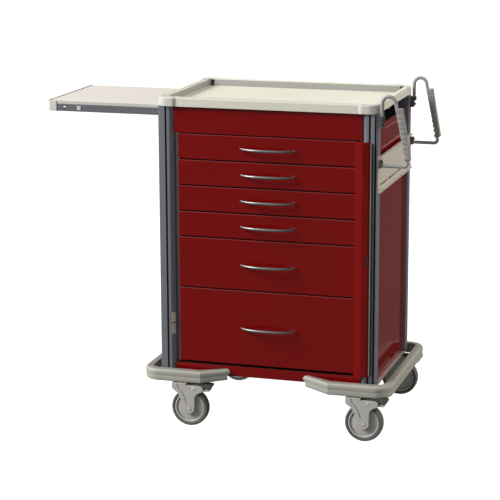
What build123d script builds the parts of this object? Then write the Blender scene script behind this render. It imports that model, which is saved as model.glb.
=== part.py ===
from build123d import *
import os
from math import cos, radians, sin, tan

os.makedirs("parts", exist_ok=True)

# Crash cart: aluminium corner posts, a stack of six drawers, a tray top, a side shelf that slides out
# to the left, a lock bar on the right front post, two push handles and four swivel casters.
# X runs from the shelf side to the handle side, -Y is the drawer side, +Z is up, millimetres.

# ---- driving dimensions ---------------------------------------------------------------------------
MODULE = 84.67                        # height of the shallowest drawer
DRAWER_MODULES = [3, 2, 1, 1, 1, 1]   # bottom drawer first
STACK_BOTTOM = 207.5
CART_X = 363.0                        # outer faces of the posts, either side of the middle
CART_Y = 245.0
POST_W = 50.0
POST_D = 38.0
TRAY_BOTTOM = 1056.5
TRAY_TOP = 1085.0
TRAY_FLOOR = 1061.5
WHEEL_R = 62.5
CASTER_X = 294.3                      # swivel axes
CASTER_Y = 265.6
TRAIL = 40.0                          # from the swivel axis to the wheel's axle
BUMPER_X = 420.0
BUMPER_Y = 285.0
SHELF_END_X = -761.5                  # left end of the side shelf, pulled out
SHELF_TRAVEL = 380.0
DRAWER_TRAVEL = 340.0
LOCK_BAR_SWING = 110.0                # degrees
PEDAL_SWING = 12.0
BUTTON_TRAVEL = 3.0

# ---- derived levels and planes --------------------------------------------------------------------
STACK_TOP = STACK_BOTTOM + MODULE * sum(DRAWER_MODULES)
INNER_X = CART_X - POST_W             # inner faces of the posts
INNER_Y = CART_Y - POST_D
PAN_BOTTOM = 169.0
PAN_TOP = 172.0
RAIL_BOTTOM = 150.0
FRONT_Y = -238.0                      # plane of the drawer fronts, skirt and header
BACK_Y = 232.0                        # outer face of the back panel
SIDE_X = 351.0                        # outer face of the side panels
PANEL_T = 1.5
DECK_TOP = 1010.0
SIDE_TOP = 1012.0
GAP = 4.0                             # between drawer fronts
KICK_GAP = (203.5, 211.5)             # between the skirt and the bottom drawer

# ---- helpers --------------------------------------------------------------------------------------
nodes = {}


def block(x0, x1, y0, y1, z0, z1):
    size = (x1 - x0, y1 - y0, z1 - z0)
    return Pos((x0 + x1) / 2, (y0 + y1) / 2, (z0 + z1) / 2) * Box(*size)


def upright(x, y, radius, z0, z1):
    return Pos(x, y, (z0 + z1) / 2) * Cylinder(radius, z1 - z0)


def rod_y(x, z, radius, y0, y1):
    return Pos(x, (y0 + y1) / 2, z) * Rot(90, 0, 0) * Cylinder(radius, y1 - y0)


def rod_x(y, z, radius, x0, x1):
    return Pos((x0 + x1) / 2, y, z) * Rot(0, 90, 0) * Cylinder(radius, x1 - x0)


def plan_prism(points, z0, z1):
    face = make_face(Polyline(*points, close=True))
    return Pos(0, 0, z0) * extrude(face, z1 - z0, dir=(0, 0, 1))


def mirror_x(shape):
    return mirror(shape, about=Plane.YZ)


def mirror_y(shape):
    return mirror(shape, about=Plane.XZ)


def add(name, *solids):
    nodes[name] = list(solids)


# ---- base, skirt and posts ------------------------------------------------------------------------
RAIL_HALF = 30.0
RAIL_END = 273.0
RAIL_WALL = 3.0
SOCKET_R = 11.0
SOCKET_TOP = 180.0
STEM_R = 7.5
STEM_CLEARANCE = 0.05
STEM_TOP = 176.0
FOLD = 16.0                           # depth of the front panels' folded edges


def base_frame():
    pan = block(-CART_X, CART_X, -CART_Y, CART_Y, PAN_BOTTOM, PAN_TOP)
    pan -= block(-INNER_X, INNER_X, -CART_Y, FRONT_Y + FOLD, PAN_BOTTOM, PAN_TOP)
    frame = pan
    for side in (-1, 1):
        x = side * CASTER_X
        rail = block(x - RAIL_HALF, x + RAIL_HALF, -RAIL_END, RAIL_END, RAIL_BOTTOM, PAN_BOTTOM)
        half = RAIL_HALF - RAIL_WALL
        rail -= block(x - half, x + half, -RAIL_END, RAIL_END, RAIL_BOTTOM + RAIL_WALL, PAN_BOTTOM - RAIL_WALL)
        frame += rail
    for x in (-CASTER_X, CASTER_X):
        for y in (-CASTER_Y, CASTER_Y):
            frame += upright(x, y, SOCKET_R, RAIL_BOTTOM, SOCKET_TOP)
            frame -= upright(x, y, STEM_R + STEM_CLEARANCE, RAIL_BOTTOM, STEM_TOP + 1)
    return frame


def front_panel(z0, z1, half_width):
    """A folded sheet across the front, with a return along its top and bottom edges."""
    sheet = block(-half_width, half_width, FRONT_Y, FRONT_Y + PANEL_T, z0, z1)
    for z in (z0, z1 - PANEL_T):
        sheet += block(-half_width, half_width, FRONT_Y, FRONT_Y + FOLD, z, z + PANEL_T)
    return sheet


def corner_post(grooved):
    """Front right post: a bevel towards the drawers and a T-slot, and a groove beside the lock bar's hinge."""
    front = -CART_Y
    slot = INNER_X + 24
    groove = CART_X - 10
    outline = [
        (INNER_X, -INNER_Y), (INNER_X, front + 12), (INNER_X + 12, front),
        (slot - 3, front), (slot - 3, front + 3), (slot - 6, front + 3), (slot - 6, front + 9),
        (slot + 6, front + 9), (slot + 6, front + 3), (slot + 3, front + 3), (slot + 3, front),
        (CART_X - 3, front), (CART_X, front + 3), (CART_X, -INNER_Y),
    ]
    post = plan_prism(outline, PAN_TOP, TRAY_BOTTOM)
    if grooved:
        post -= block(groove, groove + 5.5, front, front + 6, PAN_TOP, TRAY_BOTTOM)
    core = block(INNER_X + 4, CART_X - 4, front + 13, -INNER_Y - 4, PAN_TOP, TRAY_BOTTOM)
    return post - core


add("base_frame", base_frame())
add("front_skirt", front_panel(PAN_BOTTOM + 0.5, KICK_GAP[0], INNER_X - 0.5))
add("header_panel", front_panel(STACK_TOP + GAP / 2, TRAY_BOTTOM, INNER_X - 1))
plain_post = corner_post(False)
front_left = mirror_x(plain_post)
add("corner_posts", front_left, corner_post(True), mirror_y(front_left), mirror_y(plain_post))

# ---- panels ---------------------------------------------------------------------------------------
FIELD_INSET = 42.0
FIELD_LAP = 8.0
FIELD_T = 1.5
FIELD_CORNER_R = 14.0
SIDE_BORDER_Z = 30.0
BACK_BORDER_Z = 38.0


def side_panel():
    """Right side panel: four border strips between the posts and a raised plate over the window they leave."""
    x0 = SIDE_X - PANEL_T
    z0 = PAN_TOP + SIDE_BORDER_Z
    z1 = SIDE_TOP - SIDE_BORDER_Z
    edge = INNER_Y - FIELD_INSET
    strips = [
        block(x0, SIDE_X, -INNER_Y, INNER_Y, PAN_TOP, z0),
        block(x0, SIDE_X, -INNER_Y, INNER_Y, z1, SIDE_TOP),
        block(x0, SIDE_X, -INNER_Y, -edge, z0, z1),
        block(x0, SIDE_X, edge, INNER_Y, z0, z1),
    ]
    edge += FIELD_LAP
    field = block(SIDE_X, SIDE_X + FIELD_T, -edge, edge, z0 - FIELD_LAP, z1 + FIELD_LAP)
    return fillet(field.edges().filter_by(Axis.X), FIELD_CORNER_R), *strips


def back_panel():
    y0 = BACK_Y - PANEL_T
    z0 = PAN_TOP + BACK_BORDER_Z
    z1 = TRAY_BOTTOM - BACK_BORDER_Z
    edge = INNER_X - FIELD_INSET
    strips = [
        block(-INNER_X, INNER_X, y0, BACK_Y, PAN_TOP, z0),
        block(-INNER_X, INNER_X, y0, BACK_Y, z1, TRAY_BOTTOM),
        block(-INNER_X, -edge, y0, BACK_Y, z0, z1),
        block(edge, INNER_X, y0, BACK_Y, z0, z1),
    ]
    edge += FIELD_LAP
    field = block(-edge, edge, BACK_Y, BACK_Y + FIELD_T, z0 - FIELD_LAP, z1 + FIELD_LAP)
    return fillet(field.edges().filter_by(Axis.Y), FIELD_CORNER_R), *strips


add("side_panel_right", *side_panel())
add("side_panel_left", *[mirror_x(piece) for piece in side_panel()])
add("back_panel", *back_panel())

# ---- side shelf and the bay that it slides in --------------------------------------------------------
SHELF_FRONT = -203.0
SHELF_REAR = 181.0
SHELF_TOP = 1053.0
SHELF_BOARD_T = 10.0
SHELF_RAIL_BOTTOM = 1019.0
SHELF_RAIL_W = 18.0
SHELF_CAP_W = 29.5
SHELF_CAP_BOTTOM = 1018.5
SHELF_INNER_X = -222.0
GUIDE_CLEARANCE = 0.4
BUTTON_X = -652.5
BUTTON_Z = 1031.0
BUTTON_HALF = 7.0
BUTTON_PROUD = 2.0


def shelf_deck():
    """Floor of the shelf bay with two L-shaped guides for the shelf's rails."""
    edge = SIDE_X - PANEL_T
    deck = block(-edge, edge, FRONT_Y + FOLD + 1, BACK_Y - PANEL_T, DECK_TOP - PANEL_T, DECK_TOP)
    for x in (-edge, INNER_X):
        for y in (-CART_Y, INNER_Y):
            deck -= block(x, x + edge - INNER_X, y, y + POST_D, DECK_TOP - PANEL_T, DECK_TOP)
    guide_top = SHELF_RAIL_BOTTOM - GUIDE_CLEARANCE
    for outer, inner in ((SHELF_FRONT, 1), (SHELF_REAR, -1)):
        wall = outer - inner * GUIDE_CLEARANCE
        y_base = sorted((wall - inner * 2, outer + inner * SHELF_RAIL_W))
        y_wall = sorted((wall - inner * 2, wall))
        deck += block(-edge + 2, edge - 60, *y_base, DECK_TOP, guide_top)
        deck += block(-edge + 2, edge - 60, *y_wall, DECK_TOP, guide_top + 3)
    return deck


def shelf_rails():
    cap_inner = SHELF_END_X + SHELF_CAP_W
    z1 = SHELF_TOP - SHELF_BOARD_T
    front = block(cap_inner, SHELF_INNER_X, SHELF_FRONT, SHELF_FRONT + SHELF_RAIL_W, SHELF_RAIL_BOTTOM, z1)
    hollow = (cap_inner + 8, SHELF_INNER_X - 8)
    front -= block(*hollow, SHELF_FRONT + 2, SHELF_FRONT + SHELF_RAIL_W - 2, SHELF_RAIL_BOTTOM + 2, z1 - 2)
    pocket = BUTTON_HALF + 0.4
    front -= block(BUTTON_X - pocket, BUTTON_X + pocket, SHELF_FRONT - 1, SHELF_FRONT + 3,
                   BUTTON_Z - pocket, BUTTON_Z + pocket)
    rear = block(cap_inner, SHELF_INNER_X, SHELF_REAR - SHELF_RAIL_W, SHELF_REAR, SHELF_RAIL_BOTTOM, z1)
    rear -= block(*hollow, SHELF_REAR - SHELF_RAIL_W + 2, SHELF_REAR - 2, SHELF_RAIL_BOTTOM + 2, z1 - 2)
    return front, rear


def shelf_end_cap():
    cap = block(SHELF_END_X, SHELF_END_X + SHELF_CAP_W, SHELF_FRONT - 2, SHELF_REAR + 2,
                SHELF_CAP_BOTTOM, SHELF_TOP)
    return fillet(cap.edges().filter_by(Axis.Z).sort_by(Axis.X)[:2], 8)


add("shelf_deck", shelf_deck())
add("shelf_board", block(SHELF_END_X + SHELF_CAP_W, SHELF_INNER_X, SHELF_FRONT, SHELF_REAR,
                         SHELF_TOP - SHELF_BOARD_T, SHELF_TOP))
add("shelf_rails", *shelf_rails())
add("shelf_end_cap", shelf_end_cap())
add("shelf_latch_button", block(BUTTON_X - BUTTON_HALF, BUTTON_X + BUTTON_HALF, SHELF_FRONT - BUTTON_PROUD,
                                SHELF_FRONT + 10, BUTTON_Z - BUTTON_HALF, BUTTON_Z + BUTTON_HALF))

# ---- tray top -----------------------------------------------------------------------------------------
TRAY_X = 361.0
TRAY_Y = 250.0
TRAY_CORNER_R = 32.0
CAP_PROUD = 6.0
CAP_X = 305.0
CAP_Y = 200.0
WELL_X = 340.0
WELL_FRONT = -215.0
WELL_REAR = 222.0


def rounded_slab(x, y, radius, z0, z1):
    slab = block(-x, x, -y, y, z0, z1)
    return fillet(slab.edges().filter_by(Axis.Z), radius)


def top_tray():
    tray = rounded_slab(TRAY_X, TRAY_Y, TRAY_CORNER_R, TRAY_BOTTOM, TRAY_TOP)
    well = block(-WELL_X, WELL_X, WELL_FRONT, WELL_REAR, TRAY_FLOOR, TRAY_TOP + 1)
    well = fillet(well.edges().filter_by(Axis.Z), 10)
    return tray - well


def corner_caps():
    """Four thick corner guards that wrap round the tray's corners."""
    ring = rounded_slab(TRAY_X + CAP_PROUD, TRAY_Y + CAP_PROUD, TRAY_CORNER_R + CAP_PROUD,
                        TRAY_BOTTOM, TRAY_TOP + 1)
    ring -= rounded_slab(TRAY_X, TRAY_Y, TRAY_CORNER_R, TRAY_BOTTOM, TRAY_TOP + 1)
    front = block(CAP_X, CART_X + 20, -CART_Y - 20, -CAP_Y, TRAY_BOTTOM, TRAY_TOP + 1)
    corner = ring & front
    other = mirror_x(corner)
    return corner, other, mirror_y(corner), mirror_y(other)


add("top_tray", top_tray())
add("corner_caps", *corner_caps())

# ---- drawers --------------------------------------------------------------------------------------------
FRONT_LEFT = -298.5
FRONT_RIGHT = 294.0
FRONT_T = 20.0
FRONT_SHEET = 2.0
FRONT_EDGE_R = 1.6
BOX_X = 278.0
BOX_REAR = 205.0
BOX_WALL = 1.2
RUNNER_X = 293.5
RUNNER_HALF = 14.0
RUNNER_WALL = 2.0
SLIDE_WEB_X = 294.5
SLIDE_HALF = 17.5
SLIDE_FRONT = -214.0
SLIDE_REAR = 206.0
SLIDE_HEIGHT = 34.0                   # of the slide's middle above the bottom of the drawer
PULL_X = 3.0                          # middle of the pulls
PULL_HALF = 86.5
PULL_OUT = 30.0
PULL_R = 4.5
PULL_FOOT_R = 5.0


def drawer_front(z0, z1):
    """A face sheet with four folded returns behind it."""
    y1 = FRONT_Y + FRONT_SHEET
    back = FRONT_Y + FRONT_T
    face = block(FRONT_LEFT, FRONT_RIGHT, FRONT_Y, y1, z0, z1)
    face = fillet(face.edges().group_by(Axis.Y)[0], FRONT_EDGE_R)
    t = FRONT_SHEET
    return (
        face,
        block(FRONT_LEFT, FRONT_RIGHT, y1, back, z0, z0 + t),
        block(FRONT_LEFT, FRONT_RIGHT, y1, back, z1 - t, z1),
        block(FRONT_LEFT, FRONT_LEFT + t, y1, back, z0 + t, z1 - t),
        block(FRONT_RIGHT - t, FRONT_RIGHT, y1, back, z0 + t, z1 - t),
    )


def drawer_box(z0, z1, z_slide):
    """An open sheet metal box, as a floor and four walls, and the two runners on its sides."""
    y0 = FRONT_Y + FRONT_T
    t = BOX_WALL
    pieces = [
        block(-BOX_X, BOX_X, y0, BOX_REAR, z0, z0 + t),
        block(-BOX_X, BOX_X, y0, y0 + t, z0 + t, z1),
        block(-BOX_X, BOX_X, BOX_REAR - t, BOX_REAR, z0 + t, z1),
        block(-BOX_X, -BOX_X + t, y0 + t, BOX_REAR - t, z0 + t, z1),
        block(BOX_X - t, BOX_X, y0 + t, BOX_REAR - t, z0 + t, z1),
    ]
    half = RUNNER_HALF - RUNNER_WALL
    for side in (-1, 1):
        x = sorted((side * BOX_X, side * RUNNER_X))
        x_inner = sorted((side * (BOX_X + RUNNER_WALL), side * RUNNER_X))
        runner = block(*x, y0, BOX_REAR, z_slide - RUNNER_HALF, z_slide + RUNNER_HALF)
        pieces.append(runner - block(*x_inner, y0, BOX_REAR, z_slide - half, z_slide + half))
    return pieces


def drawer_pull(z):
    """A bow handle on two round feet."""
    foot_y = FRONT_Y - 3
    bow = ThreePointArc((-PULL_HALF, foot_y - PULL_R, z), (0, FRONT_Y - PULL_OUT, z), (PULL_HALF, foot_y - PULL_R, z))
    section = Plane(origin=bow @ 0, z_dir=bow % 0) * Circle(PULL_R)
    pull = sweep(section, bow)
    for x in (-PULL_HALF, PULL_HALF):
        pull += Pos(x, foot_y - PULL_R, z) * Sphere(PULL_R)
        pull += rod_y(x, z, PULL_FOOT_R, foot_y - PULL_R, FRONT_Y)
    return Pos(PULL_X, 0, 0) * pull


def slide_pair(z):
    """Two C-shaped channels, one each side of a drawer."""
    pair = []
    for side in (-1, 1):
        outer = sorted((side * (BOX_X + 5), side * (SLIDE_WEB_X + 2)))
        inner = sorted((side * (BOX_X + 5), side * SLIDE_WEB_X))
        channel = block(*outer, SLIDE_FRONT, SLIDE_REAR, z - SLIDE_HALF, z + SLIDE_HALF)
        channel -= block(*inner, SLIDE_FRONT, SLIDE_REAR, z - SLIDE_HALF + 2, z + SLIDE_HALF - 2)
        pair.append(channel)
    return pair


def slide_uprights():
    """Four hat-shaped posts on the side panels that carry the slides."""
    uprights = []
    inner = SLIDE_WEB_X + 2
    outer = SIDE_X - PANEL_T
    for side in (-1, 1):
        for y in (-175, 175):
            x_all = sorted((side * inner, side * outer))
            x_hollow = sorted((side * (inner + 2), side * outer))
            hat = block(*x_all, y - 15, y + 15, PAN_TOP, DECK_TOP - PANEL_T)
            hat -= block(*x_hollow, y - 13, y + 13, PAN_TOP, DECK_TOP - PANEL_T)
            uprights.append(hat)
    return uprights


def side_flanges():
    """Two dark strips that close the gaps between the posts and the drawer fronts."""
    y = SLIDE_FRONT - 6
    z = (PAN_TOP, DECK_TOP - PANEL_T)
    return [block(x0, x0 + 12, y, y + 1.5, *z) for x0 in (-INNER_X + 0.5, INNER_X - 12.5)]


slides = slide_uprights() + side_flanges()
drawer_levels = []
level = STACK_BOTTOM
for number, modules in enumerate(DRAWER_MODULES, start=1):
    height = MODULE * modules
    bottom = max(level + GAP / 2, KICK_GAP[1])
    top = level + height - GAP / 2
    middle = (bottom + top) / 2
    slide_z = level + SLIDE_HEIGHT
    slides += slide_pair(slide_z)
    add(f"drawer_{number}_front", *drawer_front(bottom, top))
    add(f"drawer_{number}_box", *drawer_box(level + 8, level + height - 14, slide_z))
    add(f"drawer_{number}_pull", drawer_pull(middle))
    drawer_levels.append((level + 8, level + height - 14, middle))
    level += height
add("drawer_slides", *slides)

# ---- lock bar and its hinge -----------------------------------------------------------------------------
BAR_LEFT = 296.0
BAR_FRONT = -266.0
BAR_FOLD = 319.5
BAR_BACK = -241.5
BAR_SHEET = 1.8
BAR_BOTTOM = 208.0
BAR_TOP = 969.0
HINGE_X = 344.6
HINGE_Y = -250.2
KNUCKLE_R = 3.6
PIN_R = 2.0
PIN_CLEARANCE = 0.06
KNUCKLES = 5
KNUCKLE_GAP = 0.5
HINGE_BOTTOM = 214.0
HINGE_TOP = 963.0
SEAL_SLOT = (573.0, 603.0)


def knuckle_span(index):
    pitch = (HINGE_TOP - HINGE_BOTTOM) / KNUCKLES
    z = HINGE_BOTTOM + index * pitch
    return z + KNUCKLE_GAP / 2, z + pitch - KNUCKLE_GAP / 2


def lock_bar_hinge():
    leaf = block(HINGE_X - 3, HINGE_X + 4, -CART_Y - 1.2, -CART_Y, HINGE_BOTTOM, HINGE_TOP)
    leaf += upright(HINGE_X, HINGE_Y, PIN_R, HINGE_BOTTOM, HINGE_TOP)
    for index in range(0, KNUCKLES, 2):
        z0, z1 = knuckle_span(index)
        leaf += upright(HINGE_X, HINGE_Y, KNUCKLE_R, z0, z1)
        leaf += block(HINGE_X + 0.6, HINGE_X + KNUCKLE_R, HINGE_Y, -CART_Y - 1, z0, z1)
    return leaf


def lock_bar():
    """A folded steel bar: a flange, a flat front and a slanted face back to the hinge."""
    t = BAR_SHEET
    slant_end = (HINGE_X - 2.4, HINGE_Y + 0.4)
    outline = [
        (BAR_LEFT, BAR_BACK), (BAR_LEFT, BAR_FRONT), (BAR_FOLD, BAR_FRONT), slant_end,
        (slant_end[0] - 0.5, slant_end[1] + 2), (BAR_FOLD - 0.8, BAR_FRONT + t),
        (BAR_LEFT + t, BAR_FRONT + t), (BAR_LEFT + t, BAR_BACK),
    ]
    bar = plan_prism(outline, BAR_BOTTOM, BAR_TOP)
    for z in (BAR_BOTTOM, BAR_TOP - t):
        end = [(BAR_LEFT, BAR_BACK), (BAR_LEFT, BAR_FRONT), (BAR_FOLD, BAR_FRONT), (HINGE_X - 6, BAR_BACK - 9.5)]
        bar += plan_prism(end, z, z + t)
    for index in range(KNUCKLES):
        z0, z1 = knuckle_span(index)
        if index % 2:
            bar += upright(HINGE_X, HINGE_Y, KNUCKLE_R, z0, z1)
            bar -= upright(HINGE_X, HINGE_Y, PIN_R + PIN_CLEARANCE, z0 - 1, z1 + 1)
        else:
            bar -= upright(HINGE_X, HINGE_Y, KNUCKLE_R + 0.5, z0 - 0.5, z1 + 0.5)
    for z0, z1 in ((BAR_BOTTOM - 1, HINGE_BOTTOM + 0.5), (HINGE_TOP - 0.5, BAR_TOP + 1)):
        bar -= upright(HINGE_X, HINGE_Y, KNUCKLE_R + 0.5, z0, z1)
    slot_x = (BAR_FOLD + HINGE_X) / 2
    return bar - block(slot_x - 3, slot_x + 3, BAR_FRONT, -CART_Y - 2, *SEAL_SLOT)


add("lock_bar_hinge", lock_bar_hinge())
add("lock_bar", lock_bar())

# ---- push handles ---------------------------------------------------------------------------------------
HANDLE_Y = 236.0
HANDLE_ROD_R = 5.5
HANDLE_LEG_X = 374.5
ARCH_R = 21.0
ARCH_Z = 1091.0
HANDLE_SLANT = 12.2                   # degrees from upright
HANDLE_LOW_Z = 894.4
HANDLE_CORNER_R = 12.0
GRIP_R = 12.0
GRIP_TOP = (428.0, 1077.0)
GRIP_LOW = (457.5, 915.0)
CLAMP_BOTTOM = 1014.0
CLAMP_TOP = 1049.0
COLLAR_BOTTOM = 1036.0                # sleeve round the handle's leg
COLLAR_R = 8.0
CLAMP_FACE_X = 375.0
KNOB_R = 4.5
ACCESSORY_FACE_X = CART_X + 2.0


def handle_rod():
    """Front handle: up from the upper clamp, over an arch, down the grip and back to the lower clamp."""
    y = -HANDLE_Y
    centre_x = HANDLE_LEG_X + ARCH_R
    tilt = radians(HANDLE_SLANT)
    arch_end = (centre_x + ARCH_R * cos(tilt), y, ARCH_Z + ARCH_R * sin(tilt))
    corner_x = arch_end[0] + (arch_end[2] - HANDLE_LOW_Z) * tan(tilt)
    leg = Line((HANDLE_LEG_X, y, COLLAR_BOTTOM + 2), (HANDLE_LEG_X, y, ARCH_Z))
    arch = ThreePointArc((HANDLE_LEG_X, y, ARCH_Z), (centre_x, y, ARCH_Z + ARCH_R), arch_end)
    rest = FilletPolyline(arch_end, (corner_x, y, HANDLE_LOW_Z), (ACCESSORY_FACE_X + 1, y, HANDLE_LOW_Z),
                          radius=HANDLE_CORNER_R)
    path = leg + arch + rest
    section = Plane(origin=leg @ 0, z_dir=(0, 0, 1)) * Circle(HANDLE_ROD_R)
    return sweep(section, path)


def handle_grip(rod):
    y = -HANDLE_Y
    top = Vector(GRIP_TOP[0], y, GRIP_TOP[1])
    low = Vector(GRIP_LOW[0], y, GRIP_LOW[1])
    axis = top - low
    grip = Plane(origin=(top + low) / 2, z_dir=axis) * Cylinder(GRIP_R, axis.length)
    grip = fillet(grip.edges().filter_by(GeomType.CIRCLE), 3)
    return grip - rod


def handle_clamps(rod):
    y = -HANDLE_Y
    upper = block(CART_X, CLAMP_FACE_X, y - 9, y + 9, CLAMP_BOTTOM, CLAMP_TOP)
    upper += upright(HANDLE_LEG_X, y, COLLAR_R, COLLAR_BOTTOM, CLAMP_TOP)
    upper -= rod
    upper_knob = rod_x(y, CLAMP_BOTTOM + 10, KNOB_R, CLAMP_FACE_X, CLAMP_FACE_X + 5)
    low_face = ACCESSORY_FACE_X + 9
    lower = block(ACCESSORY_FACE_X, low_face, y - 8, y + 8, HANDLE_LOW_Z - 7.5, HANDLE_LOW_Z + 18) - rod
    lower_knob = rod_x(y, HANDLE_LOW_Z + 11.5, KNOB_R, low_face, low_face + 4)
    return upper, upper_knob, lower, lower_knob


rod_front = handle_rod()
grip_front = handle_grip(rod_front)
clamps_front = handle_clamps(rod_front)
add("push_handle_front", rod_front)
add("push_handle_rear", mirror_y(rod_front))
add("handle_grips", grip_front, mirror_y(grip_front))
add("handle_clamps", *clamps_front, *[mirror_y(piece) for piece in clamps_front])

# ---- accessory panel and small hardware -----------------------------------------------------------------
ACCESSORY_BOTTOM = 808.0
ACCESSORY_TOP = 922.0
ACCESSORY_HALF = 243.0
ACCESSORY_LIP = 8.0
ACCESSORY_SLOT_Z = 829.0
ACCESSORY_SLOTS = 4
ACCESSORY_SCREWS = [(234.0, 9.0), (208.0, 105.0)]   # Y and height above the bottom, each side


def accessory_panel():
    """A plate across the right side with outward lips and a row of hook slots."""
    face = ACCESSORY_FACE_X
    panel = block(CART_X, face, -ACCESSORY_HALF, ACCESSORY_HALF, ACCESSORY_BOTTOM, ACCESSORY_TOP)
    for z in (ACCESSORY_BOTTOM, ACCESSORY_TOP - 2):
        panel += block(face, face + ACCESSORY_LIP, -ACCESSORY_HALF, ACCESSORY_HALF, z, z + 2)
    pitch = 440.0 / ACCESSORY_SLOTS
    for index in range(ACCESSORY_SLOTS):
        y = (index - (ACCESSORY_SLOTS - 1) / 2) * pitch
        panel -= block(CART_X, face, y - 50, y + 50, ACCESSORY_SLOT_Z - 2, ACCESSORY_SLOT_Z + 2)
    return panel


def panel_screws():
    """Round-head screws of the accessory panel, and the shelf's stop pin under the tray."""
    screws = []
    for y, height in ACCESSORY_SCREWS:
        for side in (-1, 1):
            z = ACCESSORY_BOTTOM + height
            screws.append(rod_x(side * y, z, 3.5, ACCESSORY_FACE_X, ACCESSORY_FACE_X + 2.2))
    screws.append(upright(345, -20, 4, TRAY_BOTTOM - 14, TRAY_BOTTOM))
    return screws


def post_clips():
    """Two small clips on the bevel of the front left post."""
    clips = []
    for z0, z1 in ((300, 333), (340, 371)):
        clip = Box(12, 2.5, z1 - z0)
        place = Pos(-INNER_X - 6, -CART_Y + 6, (z0 + z1) / 2) * Rot(0, 0, 45) * Pos(0, -1.25, 0)
        clips.append(place * clip)
    return clips


add("accessory_panel", accessory_panel())
add("panel_screws", *panel_screws())
add("post_clips", *post_clips())

# ---- bumpers --------------------------------------------------------------------------------------------
BUMPER_BOTTOM = 147.5
BUMPER_TOP = 188.0
BUMPER_DEPTH = 27.0
BUMPER_WALL = 8.0
BUMPER_STEP = 3.0
BUMPER_TIP = (123.0, 246.0)
BUMPER_TIP_RISE = 7.0                 # the ends slope up from the bends
BUMPER_TIP_CUT = 10.5
BUMPER_NOSE = 9.5                     # the upper lobe is this much longer than the lower one
BUMPER_BEND_R = 20.0
BUMPER_BEND_X = 215.5
BUMPER_CORNER_R = 55.0
GROOVE_Z = (165.0, 168.0)


def bumper_outline():
    corners = [
        (BUMPER_TIP[0], -BUMPER_TIP[1]), (BUMPER_BEND_X, -BUMPER_Y), (BUMPER_X, -BUMPER_Y),
        (BUMPER_X, BUMPER_Y), (BUMPER_BEND_X, BUMPER_Y), BUMPER_TIP,
    ]
    radii = [BUMPER_BEND_R, BUMPER_CORNER_R, BUMPER_CORNER_R, BUMPER_BEND_R]
    path = FilletPolyline(*corners, radius=radii)
    return make_face(path + Line(BUMPER_TIP, corners[0]))


def end_wedge(z, rise):
    """Sloped prism over both ends of a bumper. It is as high as rise at the tips and ends at the bends."""
    apex = rise * BUMPER_BEND_X / (BUMPER_BEND_X - BUMPER_TIP[0])
    side = make_face(Polyline((BUMPER_BEND_X, 0, z), (0, 0, z), (0, 0, z + apex), close=True))
    return extrude(side, BUMPER_Y, dir=(0, 1, 0), both=True)


def bumper():
    """Right bumper: a two-lobed wall with a top flange, wrapped round the end of the base."""
    outline = bumper_outline()

    def ring(outer_inset, inner_inset, z0, z1):
        outer = offset(outline, amount=-outer_inset) if outer_inset else outline
        band = outer - offset(outline, amount=-inner_inset)
        return Pos(0, 0, z0) * extrude(band, z1 - z0, dir=(0, 0, 1))

    wall = ring(BUMPER_STEP + 2, BUMPER_WALL, BUMPER_BOTTOM, BUMPER_TOP)
    wall += ring(0, BUMPER_STEP + 2, GROOVE_Z[1], BUMPER_TOP)
    wall += ring(BUMPER_STEP, BUMPER_STEP + 2, BUMPER_BOTTOM, GROOVE_Z[0])
    wall += ring(BUMPER_WALL, BUMPER_DEPTH, BUMPER_TOP - 4, BUMPER_TOP)
    wall += ring(0, BUMPER_DEPTH, BUMPER_TOP, BUMPER_TOP + BUMPER_TIP_RISE) & end_wedge(BUMPER_TOP, BUMPER_TIP_RISE)
    wall -= end_wedge(BUMPER_BOTTOM, BUMPER_TIP_CUT)
    wall -= block(0, BUMPER_TIP[0] + BUMPER_NOSE, -BUMPER_Y, BUMPER_Y, BUMPER_BOTTOM, GROOVE_Z[1])
    return wall - block(0, CART_X + 2, FRONT_Y - 1, CART_Y + 1, BUMPER_BOTTOM, BUMPER_TOP + BUMPER_TIP_RISE)


add("bumper_right", bumper())
add("bumper_left", mirror_x(bumper()))

# ---- casters --------------------------------------------------------------------------------------------
CROWN_BOTTOM = 127.0
CROWN_TOP = 146.0
CHEEK_IN = 17.2
CHEEK_OUT = 21.5
CHEEK_TOP = 140.0
HUB_R = 20.5
AXLE_R = 6.0
AXLE_CLEARANCE = 0.06
TYRE_HALF = 16.0
RIM_R = 51.5
PEDAL_X = 15.5                        # brake pivot, from the wheel's axle
PEDAL_Z = 129.5
PEDAL_PIN_R = 3.0
PEDAL_TIP = 77.0


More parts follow.
